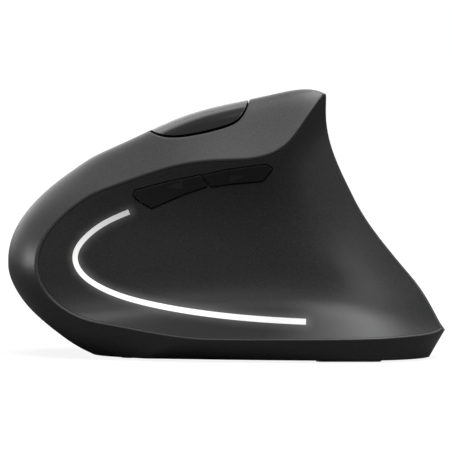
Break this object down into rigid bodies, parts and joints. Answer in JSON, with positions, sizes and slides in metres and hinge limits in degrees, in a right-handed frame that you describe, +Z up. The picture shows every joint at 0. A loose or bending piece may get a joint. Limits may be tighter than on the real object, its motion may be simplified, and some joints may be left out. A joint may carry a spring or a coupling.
{
  "type": "vertical mouse",
  "caption": "Right-handed vertical ergonomic mouse in charcoal plastic with a scooped thumb face, lit strip, thumb buttons, click keys and wheel.",
  "frame": {"origin": "bottom centre, on the plane of the feet", "axes": "+X from the nose to the palm heel, +Y from the thumb side to the finger side, +Z up"},
  "size_m": [0.1206, 0.0635, 0.0742],
  "materials": {
    "shell_coat": "fine soft-touch coat",
    "panel_coat": "fine matte grain",
    "button_plastic": "smooth matte",
    "gloss_black": "polished",
    "light_plastic": "translucent diffuser, lit",
    "tyre_rubber": "ribbed rubber",
    "hub_plastic": "moulded",
    "axle_steel": "ground",
    "frame_plastic": "moulded",
    "board_green": "solder mask",
    "switch_black": "moulded",
    "chip_black": "moulded resin",
    "lens_clear": "clear moulded lens",
    "led_white": "small LED package",
    "cell_wrap": "printed wrap, plain",
    "contact_steel": "nickel plated",
    "plug_steel": "stamped",
    "feet_white": "slick low-friction plastic",
    "screw_steel": "zinc plated"
  },
  "bodies": {
    "housing": {"main_shell": "shell_coat", "thumb_panel": "panel_coat", "wheel_strip": "gloss_black", "light_guide": "light_plastic", "leds": "led_white", "led_boards": "board_green", "side_button_board": "board_green", "forward_tact": "switch_black", "back_tact": "switch_black", "dpi_board": "board_green", "dpi_tact": "switch_black", "wheel_encoder": "switch_black", "inner_frame": "frame_plastic", "switch_board": "board_green", "left_microswitch": "switch_black", "right_microswitch": "switch_black", "middle_tact": "switch_black", "base_plate": "frame_plastic", "battery_1": "cell_wrap", "battery_2": "cell_wrap", "battery_contacts": "contact_steel", "battery_springs": "contact_steel", "main_board": "board_green", "optical_sensor": "chip_black", "sensor_lens": "lens_clear", "radio_chip": "chip_black", "power_switch_body": "switch_black", "glide_feet": "feet_white", "shell_screws": "screw_steel", "board_screws": "screw_steel"},
    "left_key": {"left_click_key": "shell_coat"},
    "right_key": {"right_click_key": "shell_coat"},
    "wheel": {"wheel_hub": "hub_plastic", "wheel_tyre": "tyre_rubber", "wheel_axle": "axle_steel"},
    "cradle": {"wheel_cradle": "frame_plastic"},
    "forward": {"forward_button": "button_plastic"},
    "back": {"back_button": "button_plastic"},
    "dpi": {"dpi_button": "gloss_black"},
    "power": {"power_switch_knob": "switch_black"},
    "door": {"battery_door": "frame_plastic"},
    "receiver": {"usb_receiver_body": "switch_black", "usb_receiver_plug": "plug_steel"}
  },
  "joints": [
    {"name": "left_key_press", "type": "hinge", "parent": "housing", "child": "left_key", "pos_m": [-0.0034, 0.00816, 0.05087], "axis": [0, -0.5, 0.866], "range_deg": [0, 1.2], "stiffness_Nm_per_rad": 0.12},
    {"name": "right_key_press", "type": "hinge", "parent": "housing", "child": "right_key", "pos_m": [-0.0034, 0.01915, 0.03182], "axis": [0, -0.5, 0.866], "range_deg": [0, 1.2], "stiffness_Nm_per_rad": 0.12},
    {"name": "wheel_click", "type": "slide", "parent": "housing", "child": "cradle", "axis": [0, -0.866, -0.5], "range_m": [0, 0.0005], "stiffness_N_per_m": 180},
    {"name": "wheel_spin", "type": "hinge", "parent": "cradle", "child": "wheel", "pos_m": [-0.031, 0.00664, 0.0373], "axis": [0, 0.5, -0.866], "continuous": true},
    {"name": "forward_press", "type": "slide", "parent": "housing", "child": "forward", "axis": [0, 1, 0], "range_m": [0, 0.0005], "stiffness_N_per_m": 180},
    {"name": "back_press", "type": "slide", "parent": "housing", "child": "back", "axis": [0, 1, 0], "range_m": [0, 0.0005], "stiffness_N_per_m": 180},
    {"name": "dpi_press", "type": "slide", "parent": "housing", "child": "dpi", "axis": [0, 0, -1], "range_m": [0, 0.0005], "stiffness_N_per_m": 180},
    {"name": "power_slide", "type": "slide", "parent": "housing", "child": "power", "axis": [1, 0, 0], "range_m": [0, 0.0025]},
    {"name": "door_release", "type": "slide", "parent": "housing", "child": "door", "axis": [0, 0, -1], "range_m": [0, 0.012]},
    {"name": "receiver_release", "type": "slide", "parent": "housing", "child": "receiver", "axis": [0, 0, -1], "range_m": [0, 0.02]}
  ]
}
